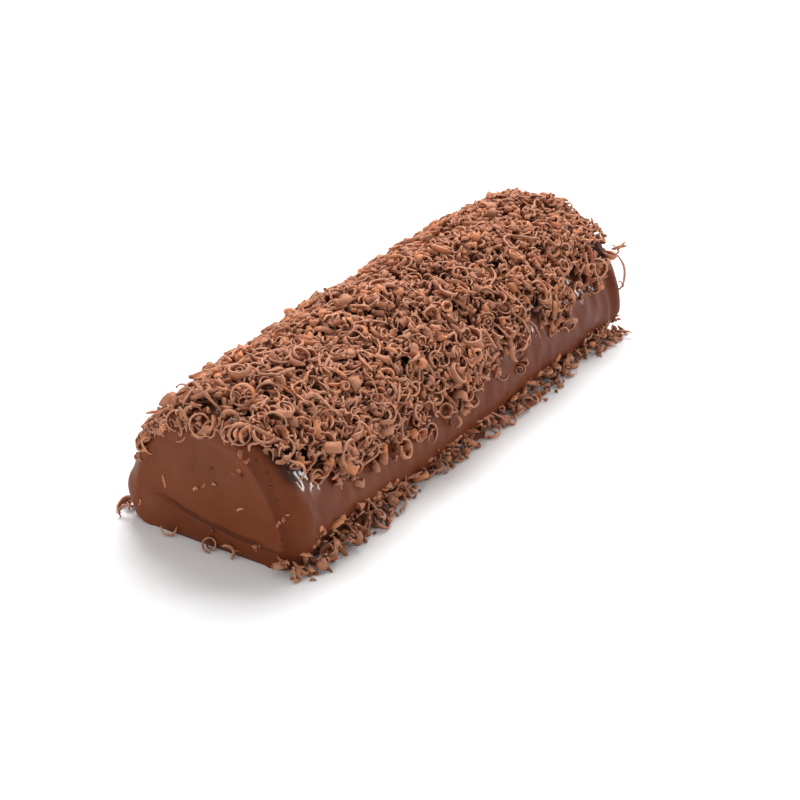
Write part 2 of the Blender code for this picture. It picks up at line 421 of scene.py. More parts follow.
class Finish:
    """A material with a Principled shader."""

    def __init__(self, name):
        self.material = bpy.data.materials.new(name)
        self.material.use_nodes = True
        self.tree = self.material.node_tree
        self.shader = self.tree.nodes["Principled BSDF"]

    def feed(self, socket, value):
        if isinstance(value, Wire):
            self.tree.links.new(value.socket, socket)
        elif value is not None:
            socket.default_value = value

    def node(self, kind, settings, sockets, output=0):
        made = self.tree.nodes.new(kind)
        for name, value in settings.items():
            setattr(made, name, value)
        for name, value in sockets.items():
            self.feed(made.inputs[name], value)
        return Wire(self, made.outputs[output])

    def attribute(self, name):
        return self.node("ShaderNodeAttribute", {"attribute_name": name}, {}, "Fac")

    def position(self):
        return self.node("ShaderNodeTexCoord", {}, {}, "Object")

    def axis(self, place, name):
        return self.node("ShaderNodeSeparateXYZ", {}, {0: place}, name)

    def stretched(self, place, scale):
        return self.node("ShaderNodeMapping", {}, {"Vector": place, "Scale": scale})

    def noise(self, place, scale, detail=3.0, roughness=0.5):
        sockets = {"Vector": place, "Scale": scale, "Detail": detail, "Roughness": roughness}
        return self.node("ShaderNodeTexNoise", {}, sockets, "Fac")

    def blend(self, share, first, second):
        """A colour between two colours."""
        return self.node("ShaderNodeMix", {"data_type": "RGBA"}, {0: share, 6: first, 7: second}, 2)

    def tint(self, colour, strength):
        """A colour made lighter or darker by a number."""
        return self.node("ShaderNodeVectorMath", {"operation": "SCALE"}, {"Vector": colour, "Scale": strength})

    def relief(self, height, depth, strength=1.0):
        return self.node("ShaderNodeBump", {}, {"Height": height, "Distance": depth, "Strength": strength})

    def surface(self, **sockets):
        for name, value in sockets.items():
            self.feed(self.shader.inputs[name.replace("_", " ")], value)


# %% [markdown]
# ## The milk chocolate glaze
#
# Glaze is fat and cocoa with a closed skin: brown in the depth and glossy on top. Over the flanks it set
# untouched and mirrors the room. On the ends it was wiped with a spatula, as far as the right ridge, and is
# only satin. It is darker and redder where it lies thick, in the lip and the ridge. Painted shade darkens the
# crease, the flanks and the far end, and makes the glaze nearly black under the shavings. The brown body gets
# a dull shader of its own, and the gloss is a clear coat on top that thins out at the ends.

# %% Glaze material
GLAZE_BROWN = (0.199, 0.053, 0.019, 1.0)
GLAZE_DEEP = (0.110, 0.023, 0.008, 1.0)
GLAZE_SHADED = (0.028, 0.009, 0.005, 1.0)
BODY_ROUGHNESS = 0.42
GLOSS_ROUGHNESS = 0.07
GLOSS_LEAST = 0.14
GLOSS_SPAN = 0.8
GLOSS_UP = (0.026, 0.036)
CLOUD_DEPTH = 0.9
LEAST_DEPTH = 0.24
FLANK_SHADE = 0.14
FAR_SHADE = 0.42
FAR_SHADE_ALONG = (-0.05, 0.12)
RIDGE_FOOT = 0.008
RIDGE_BEND = 12.0
RIDGE_ACROSS = 0.0385
WIPED_ALONG = (0.1330, 0.1372)
SHADE_UNDER_BED_UP = (0.0370, 0.0450)
LIP_SHARE = 0.5
RIDGE_SHARE = 0.7
CREASE_SHADE_SHARE = 0.5
SHADE_UNDER_BED_SHARE = 0.9


def make_glaze():
    finish = Finish("milk_chocolate_glaze")
    place = finish.position()
    towards_far = finish.axis(place, "Y")
    along = abs(towards_far)
    height = finish.axis(place, "Z")
    cloudy = finish.noise(place, 45.0, 4.0)
    streaky = finish.noise(finish.stretched(place, (1.0, 1.0, 0.25)), 160.0, 4.0)
    across = finish.axis(place, "X")
    lean = height - RIDGE_FOOT
    past_ridge = lean * lean * RIDGE_BEND + across - RIDGE_ACROSS
    wiped = along.rise(*WIPED_ALONG) * (1 - past_ridge.rise(-0.0010, 0.0012))
    ridge = past_ridge.rise(-0.0010, 0.0010) * (1 - past_ridge.rise(0.0020, 0.0070))
    ridge = ridge * along.rise(0.1290, 0.1340)
    sweep = (CREASE_RIGHT * TO_METRES - across) * (1.0 / (CREASE_RIGHT - CREASE_LEFT) / TO_METRES)
    lip_top = sweep * sweep * (CREASE_RISE * TO_METRES) + CREASE_LOW * TO_METRES
    below = lip_top - height + (cloudy - 0.5) * 0.004
    lip = wiped * across.rise(-0.034, -0.008) * below.rise(-0.0006, 0.0022)
    # painted shade: a thin dark line along the crease, where shade falls in the recess
    crease_shade = wiped * across.rise(-0.026, -0.014) * (1 - abs(below).rise(0.0002, 0.0012))
    # painted shade: the glaze under the bed of shavings is darkened almost to black
    shade_under_bed = (height + cloudy * 0.006).rise(*SHADE_UNDER_BED_UP) * (1 - along.rise(0.1320, 0.1368))
    # painted shade: the unwiped flanks, and in the next line the far end, are darkened; the cloudy noise is
    # the glaze's own uneven tone
    depth = (cloudy - 0.5) * CLOUD_DEPTH + LEAST_DEPTH + (1 - wiped) * FLANK_SHADE
    depth = depth + towards_far.rise(*FAR_SHADE_ALONG) * FAR_SHADE
    colour = finish.blend(depth, GLAZE_BROWN, GLAZE_DEEP)
    colour = finish.blend(lip * LIP_SHARE, colour, GLAZE_DEEP)
    colour = finish.blend(ridge * RIDGE_SHARE, colour, GLAZE_DEEP)
    colour = finish.blend(crease_shade * CREASE_SHADE_SHARE, colour, GLAZE_SHADED)
    colour = finish.blend(shade_under_bed * SHADE_UNDER_BED_SHARE, colour, GLAZE_SHADED)
    smear = (streaky - 0.5) * 0.2
    fine = streaky * 0.6 + finish.noise(place, 900.0, 2.0) * 0.4
    bumps = finish.relief(fine, 0.00025, 0.5)
    finish.surface(Base_Color=colour, Roughness=BODY_ROUGHNESS + smear, Normal=bumps)
    gloss = (height.rise(*GLOSS_UP) * GLOSS_SPAN + GLOSS_LEAST) * (1 - along.rise(0.1270, 0.1340) * 0.9)
    finish.surface(Specular_IOR_Level=0.08, Coat_Weight=gloss, Coat_Roughness=GLOSS_ROUGHNESS)
    return finish.material


glazed_log.data.materials.append(make_glaze())
print("glaze:", len(glazed_log.data.materials[0].node_tree.nodes), "nodes")

# %% [markdown]
# ## One shaving
#
# A shaving is a thin ribbon that rolled up as the blade pushed it off the block. One function makes them
# all: it walks round a circle that slowly grows, and at each step sets a small rectangle across the ribbon.
# Turns, radius and width tell a ring from a tight scroll, an open curl, a flake or a nearly straight sliver.
# The two long edges wander on their own, because chocolate breaks raggedly, and both tips run out thin.

# %% The ribbon
def ribbon(rng, kind):
    """Corner points of one shaving round its own Z axis: steps + 1 rectangles of 4 points each."""
    steps = kind["steps"]
    share = np.linspace(0.0, 1.0, steps + 1)
    centred = 2.0 * share - 1.0
    radius = rng.uniform(*kind["radius"])
    angle = np.pi * rng.uniform(*kind["turns"]) * centred
    waver = rng.uniform(0.06, 0.20) * min(1.0, 2.5 / radius)
    wobble = waver * np.sin(TAU * share * rng.uniform(0.6, 2.0) + rng.uniform(0.0, TAU))
    reach = radius * (1.0 + rng.uniform(*kind["growth"]) * centred + wobble)
    climb = rng.uniform(-1.0, 1.0) * kind["climb"] * centred
    taper = 1.0 - rng.uniform(0.35, 0.85) * np.abs(centred) ** rng.uniform(2.0, 5.0)
    half = rng.uniform(*kind["width"]) / 2 * taper
    thick = kind["thickness"] / 2 * rng.uniform(0.7, 1.3) * (1.0 - 0.45 * np.abs(centred) ** 3)
    thick *= rng.uniform(0.8, 1.2, steps + 1)
    lean = rng.uniform(-0.5, 0.5) + rng.uniform(-1.0, 1.0) * kind["twist"] * centred
    out = np.stack([np.cos(angle), np.sin(angle), np.zeros_like(angle)], 1)
    axis = np.array([0.0, 0.0, 1.0])
    across = np.cos(lean)[:, None] * axis + np.sin(lean)[:, None] * out
    face = np.cos(lean)[:, None] * out - np.sin(lean)[:, None] * axis
    spine = out * reach[:, None] + climb[:, None] * axis
    upper = half * (1.0 + kind["ragged"] * rng.uniform(-1.0, 1.0, steps + 1))
    lower = half * (1.0 + kind["ragged"] * rng.uniform(-1.0, 1.0, steps + 1))
    upper = spine + across * upper[:, None]
    lower = spine - across * lower[:, None]
    depth = face * thick[:, None]
    points = np.stack([upper + depth, upper - depth, lower - depth, lower + depth], 1).reshape(-1, 3)
    return points - (points.max(axis=0) + points.min(axis=0)) / 2


def ribbon_faces(steps):
    """Quads of one ribbon, and which side each is: 0 the inner face, 1 an edge, 2 the outer face."""
    quads = []
    sides = []
    for step in range(steps):
        here = 4 * step
        for corner, side in enumerate((1, 0, 1, 2)):
            after = (corner + 1) % 4
            quads.append((here + corner, here + 4 + corner, here + 4 + after, here + after))
            sides.append(side)
    quads.append((0, 1, 2, 3))
    quads.append((4 * steps + 3, 4 * steps + 2, 4 * steps + 1, 4 * steps))
    return np.array(quads), np.array(sides + [1, 1])


# %% [markdown]
# ## The kinds of shaving
#
# The photograph shows six kinds in one heap. Sizes are millimetres and turns are shares of a full circle.
# Most are open curls and rings 5 to 9 mm across, with tight scrolls, broad flakes, slivers and crumbs between.
# The two counts are how many fall on the back and how many into the drift at the foot.

# %% Kinds
KIND_SIZES = (
    "on_back", "in_drift", "steps", "radius", "turns", "growth",
    "width", "thickness", "climb", "twist", "ragged",
)
KIND_ROWS = {
    "rings": (800, 170, 15, (2.1, 4.4), (0.68, 1.08), (-0.28, 0.28), (1.6, 3.2), 0.76, 1.6, 0.40, 0.16),
    "open_curls": (2250, 330, 9, (1.8, 4.8), (0.32, 0.76), (-0.30, 0.30), (1.7, 3.6), 0.82, 1.8, 0.60, 0.20),
    "scrolls": (800, 120, 18, (1.2, 2.2), (0.9, 1.6), (0.30, 0.50), (2.0, 4.2), 0.56, 1.0, 0.20, 0.16),
    "flakes": (1200, 160, 6, (2.6, 5.4), (0.18, 0.42), (-0.20, 0.20), (2.2, 4.8), 0.80, 1.2, 0.7, 0.28),
    "slivers": (1100, 190, 8, (7.0, 18.0), (0.08, 0.17), (-0.1, 0.1), (1.0, 1.8), 0.80, 0.8, 0.8, 0.20),
    "crumbs": (2600, 500, 3, (1.2, 2.4), (0.16, 0.40), (-0.2, 0.2), (0.9, 2.2), 0.90, 0.4, 0.6, 0.30),
}
KINDS = {name: dict(zip(KIND_SIZES, row)) for name, row in KIND_ROWS.items()}
print("kinds:", list(KINDS))

# %% [markdown]
# ## Dropping them one by one
#
# Scattering shapes at random depths makes a cloud, not a heap. Here each shaving is dropped: a grid over the
# surface remembers how high the heap stands in every square, the newcomer comes down until its lowest part
# hooks a little into what lies there, and the grid is raised under it. Where it would stand too high it slides
# on and tries again close by, as a loose piece does until it settles in a hollow.

# %% The heap
class Heap:
    """Heights over a flat grid of squares, with how likely and how high shavings lie in each."""

    def __init__(self, half_across, half_along, square=1.0):
        self.low = np.array([-half_across, -half_along])
        self.square = square
        size = np.ceil(-2.0 * self.low / square).astype(int)
        self.most = size - 1
        self.heights = np.zeros(size)
        self.canopy = None
        across, along = (low + square * (np.arange(count) + 0.5) for low, count in zip(self.low, size))
        self.across, self.along = np.meshgrid(across, along, indexing="ij")

    def set_rules(self, likely, limits):
        self.likely = likely
        self.limits = limits
        self.odds = np.cumsum(likely.ravel()) / likely.sum()

    def pick(self, rng):
        """A random place, by how likely each square is."""
        spot = min(np.searchsorted(self.odds, rng.random()), self.odds.size - 1)
        jitter = (rng.random(2) - 0.5) * self.square
        return np.array([self.across.flat[spot], self.along.flat[spot]]) + jitter

    def squares(self, places):
        spots = np.clip(((places - self.low) / self.square).astype(int), 0, self.most)
        return spots[..., 0], spots[..., 1]

    def drop(self, rng, shape, home, give, slack=0.0, tries=7, slide=7.0):
        """Piles a shaving near home where it stays under the limit. Returns its place and points, or None."""
        place = home
        for _ in range(tries):
            turned = shape @ random_turn(rng).T
            spots = self.squares(turned[:, :2] + place)
            lift = np.quantile(self.heights[spots] - turned[:, 2], 1.0 - give)
            if lift + turned[:, 2].max() < self.limits[self.squares(place)] + slack:
                turned[:, 2] += lift
                np.maximum.at(self.heights, spots, turned[:, 2])
                return place, turned
            place = home + rng.normal(size=2) * slide
            if not self.likely[self.squares(place)]:
                place = home
        return None

    def shade_depth(self, place, turned, reach=2):
        """How far each point lies below the highest thing within a few squares of it, which drives painted
        shade.
        """
        if self.canopy is None:
            steps = [(i, j) for i in range(-reach, reach + 1) for j in range(-reach, reach + 1)]
            self.canopy = np.max([np.roll(self.heights, step, (0, 1)) for step in steps], axis=0)
        return self.canopy[self.squares(turned[:, :2] + place)] - turned[:, 2]


def turn_about(axis, angle):
    return np.array(Matrix.Rotation(angle, 3, axis))


def random_turn(rng):
    """Most curls lie on their side and some stand up on their rim, heading in any direction."""
    spin, heading = rng.uniform(0.0, TAU, 2)
    tilt = rng.triangular(0.0, 0.6, np.pi / 2)
    return turn_about("Z", heading) @ turn_about("Y", tilt) @ turn_about("Z", spin)


# %% [markdown]
# ## Where shavings cling
#
# They cover the back and reach down the flanks to a ragged line about half way, where a bare glossy band
# begins. On the right that line has notches, and a few bare patches above it show the glaze. Towards the near
# end the line climbs to the rim and steps back from it on the right, so the end face stays bare apart from
# what hangs over its upper edge. The depth along the crest follows the photograph's outline, with low mounds.

# %% The edge and the depth of the bed
EDGE_HEIGHT = 32.0
EDGE_CLIMB_LEFT = 10.0
EDGE_CLIMB_RIGHT = 18.0
EDGE_FRAY = 3.0
FINE_FRAY = 1.5
EDGE_MOST = 50.0
SIDE_APART = 40.0
STRAYS = 0.05
RIM_COVER = 1.4
RIM_STEP_BACK = 9.0
CREST = (
    (-146, 4.6), (-132, 5.8), (-122, 6.6), (-112, 6.8), (-95, 7.6), (-71, 5.8), (-52, 7.6),
    (-33, 8.2), (-24, 9.8), (6, 8.8), (40, 8.6), (82, 10.6), (98, 8.8), (120, 8.8),
    (132, 6.4), (145, 4.2),
)
NEAR_RIGHT_GAIN = 1.6
FAR_RIGHT_GAIN = 1.6
FAR_SHOULDER_LOSS = 2.2
MOUND_HEIGHT = 1.8
FINE_MOUND_HEIGHT = 0.8
FLANK_LOSS = 0.40
RIM_LOSS = 0.2
# middle along the log, half width and rise of each notch
NOTCHES = ((27, 5, 13), (55, 7.5, 13), (98, 10, 12), (131, 8, 17), (-122, 5, 9))
# arc and walk of the middle of each patch, then half its size in both
BARE_PATCHES = (
    (43.5, 56, 5.5, 7.5), (43, 95, 5, 7.5), (40, 130.5, 5, 6), (39, 26.5, 4, 4),
    (46.5, -127, 5, 4.5),
)
BED_THINS_FROM = 40.0
BED_ARC_MOST = 66.0
COARSE_SIZE = 1.03
FINE_SIZE = 0.86


def edge_height(x, y):
    """The height on the flank at which the shavings stop."""
    climb = np.where(x > 0.0, EDGE_CLIMB_RIGHT, EDGE_CLIMB_LEFT) * ramp(28.0, 2.0, y + LENGTH / 2)
    place = np.stack([x * 0.0, y, np.sign(x) * SIDE_APART], -1)
    notch = sum(rise * bump(y - middle, width) for middle, width, rise in NOTCHES) * (x > 0.0)
    fray = EDGE_FRAY * swell(place, 13.0, 21) + FINE_FRAY * swell(place, 4.5, 22)
    return np.minimum(EDGE_HEIGHT + climb + notch + fray, EDGE_MOST)


def bed_rules(heap):
    """How likely shavings are on each square of (arc, walk), and how deep they may lie."""
    arc = heap.across
    walk = heap.along
    points, _ = on_log(arc, walk)
    above = points[..., 2] - edge_height(points[..., 0], points[..., 1])
    likely = np.maximum(ramp(-2.0, 3.0, above), STRAYS * ramp(-16.0, -2.0, above))
    step_back = RIM_STEP_BACK * ramp(4.0, 32.0, arc) * (walk < 0.0)
    reach = np.abs(walk) < STRAIGHT + END_ROUNDING * RIM_COVER - step_back
    likely = likely * reach * (0.85 + 0.15 * ramp(-140.0, 60.0, walk)) * (np.abs(arc) < BED_ARC_MOST)
    depth = np.interp(walk, *zip(*CREST))
    depth += NEAR_RIGHT_GAIN * ramp(-50.0, -105.0, walk) * ramp(-26.0, 2.0, arc)
    far_right = ramp(-12.0, 14.0, arc) - FAR_SHOULDER_LOSS * ramp(16.0, 30.0, arc)
    depth += FAR_RIGHT_GAIN * ramp(90.0, 120.0, walk) * far_right
    flat_place = np.stack([arc, walk, arc * 0.0], -1)
    depth += ramp(-24.0, -12.0, arc) * MOUND_HEIGHT * swell(flat_place, 21.0, 24)
    depth += FINE_MOUND_HEIGHT * swell(flat_place, 11.0, 25)
    depth *= 1.0 - FLANK_LOSS * ramp(BED_THINS_FROM, BED_ARC_MOST, np.abs(arc))
    depth *= 1.0 - RIM_LOSS * ramp(-STRAIGHT, -STRAIGHT - RIM_WALK, walk)
    for patch_arc, patch_walk, half_arc, half_walk in BARE_PATCHES:
        bare = ((arc - patch_arc) / half_arc) ** 2 + ((walk - patch_walk) / half_walk) ** 2 < 1.0
        likely[bare] = 0.0
        depth[bare] = 0.0
    return likely, depth


def size_along(walk):
    """Shavings are coarse at the near end and finer towards the far one."""
    return COARSE_SIZE + (FINE_SIZE - COARSE_SIZE) * ramp(-105.0, 90.0, walk)


# %% [markdown]
# ## The shavings on the back
#
# The heap works on a flat grid of arc and walk. Each shaving is then carried as it is, unbent, to its place
# on the curved log, with its up direction along the surface's own. The largest come last, so they lie on top,
# and stay away from the near rim, where the curls of the photograph are placed one by one.

# %% Drop the shavings
SHAVING_SEED = 4
HOOKED = 0.28
SHOWY = {"rings": 70, "open_curls": 60, "scrolls": 40, "slivers": 40}
SHOWY_SIZE = 1.25
SHOWY_SLACK = 1.9
SHOWY_FROM = -112.0
HEAP_HALF_ALONG = 160.0
BACK_HALF = 90.0
SHAVINGS = {name: [] for name in KINDS}


def frame_at(arc, walk):
    """The place on the log and the turn whose Z is the outward direction and Y the walk."""
    point, normal = on_log(np.array(arc), np.array(walk))
    ahead, _ = on_log(np.array(arc), np.array(walk + 0.5))
    forward = ahead - point
    forward -= normal * (forward @ normal)
    forward /= np.linalg.norm(forward)
    return point, np.stack([np.cross(forward, normal), forward, normal], 1)


def mixed_order(rng, counts):
    """Names of kinds, each as often as its count says, shuffled."""
    names = [name for name, count in counts.items() for _ in range(count)]
    return [names[index] for index in rng.permutation(len(names))]


def drop_on_back(rng):
    heap = Heap(BACK_HALF, HEAP_HALF_ALONG)
    heap.set_rules(*bed_rules(heap))
    counts = {name: kind["on_back"] for name, kind in KINDS.items()}
    order = [(name, 1.0, 0.0) for name in mixed_order(rng, counts)]
    order += [(name, SHOWY_SIZE, SHOWY_SLACK) for name in mixed_order(rng, SHOWY)]
    landed = []
    for name, size, slack in order:
        home = heap.pick(rng)
        if size > 1.0 and home[1] < SHOWY_FROM:
            continue
        shape = ribbon(rng, KINDS[name]) * size * size_along(home[1])
        found = heap.drop(rng, shape, home, HOOKED, slack)
        if found is not None:
            landed.append((name, *found))
    for name, place, turned in landed:
        point, turn = frame_at(*place)
        SHAVINGS[name].append((point + turned @ turn.T, heap.shade_depth(place, turned)))
    deep = heap.heights[heap.likely > 0.5]
    print("no place for", len(order) - len(landed), "of", len(order), "shavings")
    print("the bed is", round(float(np.median(deep)), 1), "mm deep")


rng = np.random.default_rng(SHAVING_SEED)
drop_on_back(rng)
print("shavings on the back:", sum(len(pieces) for pieces in SHAVINGS.values()))

# %% [markdown]
# ## The drift at the foot
#
# Shavings that did not hold slid down and lie against the foot of the roll on both long sides. They are
# dropped in the same way, now on the ground. The roll's own flank is written into the grid first as a wall,
# so nothing comes down inside it. The drift is thinner on the left and turns the near corner on the right.

# %% Drop the drift
DRIFT_FROM = 41.5
DRIFT_TO = 53.0
DRIFT_CREST = (
    (-146, 5), (-138, 9), (-122, 17), (-95, 16), (-75, 12), (-55, 10), (140, 12),
)
DRIFT_FALL = 0.85
DRIFT_HALF = 70.0
DRIFT_MEAN = 0.6
NEAR_GAIN = 0.9
LEFT_SHARE = 0.45
CLUMP_LEAST = 0.12
CLUMP_MOST = 1.6
DRIFT_HOOKED = 0.15
DRIFT_SIZE = 0.9
WALL_HEIGHT = 5.0
GROUND_GAP = 0.05


def drift_rules(heap):
    """How likely shavings are on each square of the ground, and how high the drift leans on the flank."""
    along = heap.along
    out = np.abs(heap.across)
    place = np.stack([heap.across, along, heap.across * 0.0], -1)
    clumps = DRIFT_MEAN + 0.4 * swell(place, 40.0, 31) + 0.25 * swell(place, 12.0, 32)
    clumps += NEAR_GAIN * ramp(-50.0, -85.0, along)
    clumps *= np.where(heap.across > 0.0, 1.0, LEFT_SHARE * ramp(-125.0, -105.0, along))
    beside = ramp(DRIFT_FROM - 1.0, DRIFT_FROM + 1.0, out) * ramp(DRIFT_TO, 46.0, out)
    beside *= ramp(LENGTH / 2 - 1.0, LENGTH / 2 - 8.0, np.abs(along))
    corner = ramp(36.0, 42.0, heap.across) * ramp(50.0, 44.0, heap.across)
    corner *= ramp(-144.0, -140.0, along) * (along < -LENGTH / 2)
    depth = np.interp(along, *zip(*DRIFT_CREST)) - np.maximum(out - DRIFT_FROM, 0.0) * DRIFT_FALL
    return np.clip(clumps, CLUMP_LEAST, CLUMP_MOST) * np.maximum(beside, corner), depth


def drop_drift(rng):
    heap = Heap(DRIFT_HALF, HEAP_HALF_ALONG)
    heap.set_rules(*drift_rules(heap))
    inside = (np.abs(heap.across) < DRIFT_FROM) & (np.abs(heap.along) < LENGTH / 2)
    heap.heights[inside] = WALL_HEIGHT
    landed = []
    counts = {name: kind["in_drift"] for name, kind in KINDS.items()}
    for name in mixed_order(rng, counts):
        found = heap.drop(rng, ribbon(rng, KINDS[name]) * DRIFT_SIZE, heap.pick(rng), DRIFT_HOOKED)
        if found is not None:
            landed.append((name, *found))
    for name, place, turned in landed:
        placed = turned + np.array([*place, 0.0])
        placed[:, 2] += max(0.0, GROUND_GAP - placed[:, 2].min())
        SHAVINGS[name].append((placed, heap.shade_depth(place, turned)))


drop_drift(rng)
print("shavings in all:", sum(len(pieces) for pieces in SHAVINGS.values()))

# %% [markdown]
# ## Bits placed one by one
#
# A few bits flew onto the soft glaze of the near end. Each place was read off the photograph as x and z on the
# plane of the end, so a ray from the camera through it finds the spot on the rounded log. The curls that hang
# over the near rim have an arc, a walk and a depth over the glaze, and turn to the camera: a curl shows its
# round side, a flake or sliver its broad one. Four curls and a flake lie at the foot of that end, and strands
# hang from the right edge of the bed. Their own seed keeps them as they are when the heap changes.

# %% Bits, rim curls, foot curls and strands
HAND_SEED = 7
BIT_DEPTH = 0.1
# x, z, kind, length, heading, how it lies
END_BITS = (
    (-21.8, 22.7, "slivers", 8, 0, "edge"), (-5.4, 25.2, "open_curls", 3.2, 0.4, "edge"),
    (-1.2, 28, "crumbs", 2.8, 1, "flat"), (3.8, 30.2, "slivers", 4.4, 1.2, "edge"),
    (13.9, 38.2, "crumbs", 2.4, 2, "flat"), (17.2, 40.6, "crumbs", 2.8, 0.3, "flat"),
    (19.6, 47.8, "flakes", 6.6, -0.9, "flat"), (16.6, 22.4, "slivers", 4.2, 1, "edge"),
    (24.5, 7.8, "crumbs", 3.8, 0.9, "flat"), (23.6, 6.2, "crumbs", 2.6, 2.3, "flat"),
    (-36, 9.3, "crumbs", 3.2, 0.4, "flat"), (-34.5, 28.8, "flakes", 4.8, 0.3, "flat"),
    (-31.3, 36, "crumbs", 3.8, 0.4, "flat"), (36, 22, "crumbs", 3.2, 0.2, "flat"),
    (39.5, 26, "open_curls", 4, 0.5, "flat"),
)
# arc, walk, depth, kind, length, heading
RIM_CURLS = (
    (-22.5, -130, 5.2, "flakes", 10, 0.45), (-32.5, -130.8, 6, "slivers", 7, 0.1),
    (-20, -123.5, 6, "rings", 6, 0.5), (-0.5, -131.5, 6.5, "slivers", 17, -0.83),
    (12.5, -137.8, 2, "open_curls", 7.5, 3.4), (0, -138.8, 2.5, "scrolls", 10.5, 1.2),
    (-13.5, -142.8, 1.2, "open_curls", 7.5, 0), (11, -133.8, 4, "rings", 8.5, 0.6),
    (17.5, -134.2, 2.5, "scrolls", 6, 2.5), (8, -123.8, 7, "rings", 10.5, 2.6),
    (23.5, -124.5, 7, "rings", 9.5, 1.6), (26.5, -108, 8, "rings", 8.5, 1.2),
    (23.5, -131.5, 6, "slivers", 13, -0.48), (12, -112.5, 8, "open_curls", 11, 1.57),
    (-34, -134.5, 3.5, "open_curls", 6.5, 2.4), (-45.5, -138, 1.8, "open_curls", 4.5, 2.8),
    (-40, -136.8, 2.5, "open_curls", 5.5, 2.6), (42.5, -127.2, 2, "rings", 7.5, 1.2),
    (38.5, -128.8, 2.5, "open_curls", 7, 1.6), (24.5, -134.8, 1.8, "open_curls", 6.5, 2.2),
    (31, -132.5, 2, "open_curls", 6, 0.9), (-5, -136, 4, "open_curls", 8, 2),
    (-25.5, -140, 1.4, "flakes", 6, 0.8),
)
# place, kind, length, heading
FOOT_CURLS = (
    ((-18.6, -141.2, 2.4), "open_curls", 7, -1.6), ((2.6, -141.2, 2.8), "scrolls", 6.5, 0.8),
    ((13.4, -141.2, 2.8), "open_curls", 7, 0.6), ((15, -140.6, 2), "flakes", 5, 2.4),
    ((-44.5, -139, 1.6), "open_curls", 5.5, 2),
)
# place, kind, length, where its bow points, where it runs
STRANDS = (
    ((41, 49.8, 33), "slivers", 19, (0.90, 0, 0.42), (-0.42, 0.20, 0.88)),
    ((46.3, 136.5, 33), "slivers", 17, (0.84, 0.54, 0.10), (-0.10, 0, 0.99)),
    ((44, 136.8, 45.2), "slivers", 8, (0.3, -0.6, 0.7), (0.84, 0.54, 0.30)),
    ((45, 137, 46), "slivers", 6, (0.3, -0.6, 0.7), (0.3, 0.2, 0.90)),
    ((43, 135.5, 44), "open_curls", 6, (0.84, 0.54, 0.3), (-0.2, 0.4, 0.9)),
    ((38.8, 83, 35), "slivers", 11, (0.85, 0, 0.50), (-0.45, -0.30, 0.84)),
    ((40.2, 62, 31.5), "open_curls", 9, (0.90, 0, 0.42), (-0.42, 0.10, 0.90)),
    ((42.5, 137, 21.8), "open_curls", 6.5, (0.70, -0.5, 0.30), (-0.30, 0.30, 0.90)),
    ((44.8, 138.2, 24), "open_curls", 5, (0.60, 0.3, -0.2), (0.10, 0.50, 0.85)),
)

def sized(name, length):
    """Changes to a kind that make its own size the wanted one, with slim ribbons."""
    if name == "slivers":
        bow = {"radius": (1.2 * length, 1.3 * length), "turns": (0.13, 0.15), "twist": 0.4}
        return bow | {"width": (1.2, 1.6), "thickness": 1.05}
    if name == "scrolls":
        spiral = {"radius": (0.33 * length, 0.36 * length), "growth": (0.36, 0.46), "turns": (1.25, 1.45)}
        return spiral | {"width": (1.6, 2.2), "thickness": 0.75}
    if name in ("rings", "open_curls"):
        return {"radius": (0.46 * length, 0.5 * length), "width": (1.6, 2.2), "ragged": 0.1}
    return {}


def behind_end(x, z):
    """Where the camera's line of sight through (x, z) of the end plane meets the log, and the normal there."""
    eye = bpy.context.scene.camera.location
    goal = Vector((x, -LENGTH / 2, z)) * TO_METRES
    _, place, normal, _ = glazed_log.ray_cast(eye, goal - eye)
    return np.array(place) / TO_METRES, np.array(normal)


def place_by_hand(rng, name, length, place, bulge, run):
    """One shaving of a given length: its bow points along bulge and it runs along run."""
    shape = ribbon(rng, KINDS[name] | sized(name, length))
    shape *= length / (shape.max(axis=0) - shape.min(axis=0))[:2].max()
    bulge = bulge / np.linalg.norm(bulge)
    run = run - bulge * (run @ bulge)
    run /= np.linalg.norm(run)
    placed = shape @ np.stack([bulge, run, np.cross(bulge, run)]) + place
    placed[:, 2] += max(0.0, GROUND_GAP - placed[:, 2].min())
    SHAVINGS[name].append((placed, np.zeros(len(placed))))


def in_picture(rng, heading):
    """Two directions across the camera's view, a little tilted, and the one towards it."""
    right, up, back = np.array(bpy.context.scene.camera.matrix_world.to_3x3()).T
    run = np.cos(heading) * right + np.sin(heading) * up + rng.uniform(-0.3, 0.3) * back
    side = np.cos(heading) * up - np.sin(heading) * right + rng.uniform(-0.3, 0.3) * back
    return run, side, back


def hang_on_rim(rng):
    for arc, walk, depth, name, length, heading in RIM_CURLS:
        point, normal = on_log(np.array(arc), np.array(walk))
        run, side, back = in_picture(rng, heading)
        directions = (back, run) if name in ("flakes", "slivers") else (run, side)
        place_by_hand(rng, name, length, point + normal * depth, *directions)


def stick_bits(rng):
    for x, z, name, length, heading, lies in END_BITS:
        place, normal = behind_end(x, z)
        run = np.array([np.sin(heading), 0.0, np.cos(heading)])
        bulge = normal if lies == "flat" else np.cross(run, normal)
        place_by_hand(rng, name, length, place + normal * BIT_DEPTH, bulge, run)
    for place, name, length, heading in FOOT_CURLS:
        run, side, _ = in_picture(rng, heading)
        place_by_hand(rng, name, length, np.array(place), run, side)
    for place, name, length, bulge, run in STRANDS:
        place_by_hand(rng, name, length, np.array(place), np.array(bulge), np.array(run))


bpy.context.view_layer.update()
hand_rng = np.random.default_rng(HAND_SEED)
stick_bits(hand_rng)
hang_on_rim(hand_rng)
print("placed by hand:", len(END_BITS) + len(FOOT_CURLS) + len(STRANDS) + len(RIM_CURLS))

# %% [markdown]
# ## Drops of glaze
#
# Beside the right ridge the glaze spattered into a few glossy drops. Each is a small ball sunk half way.

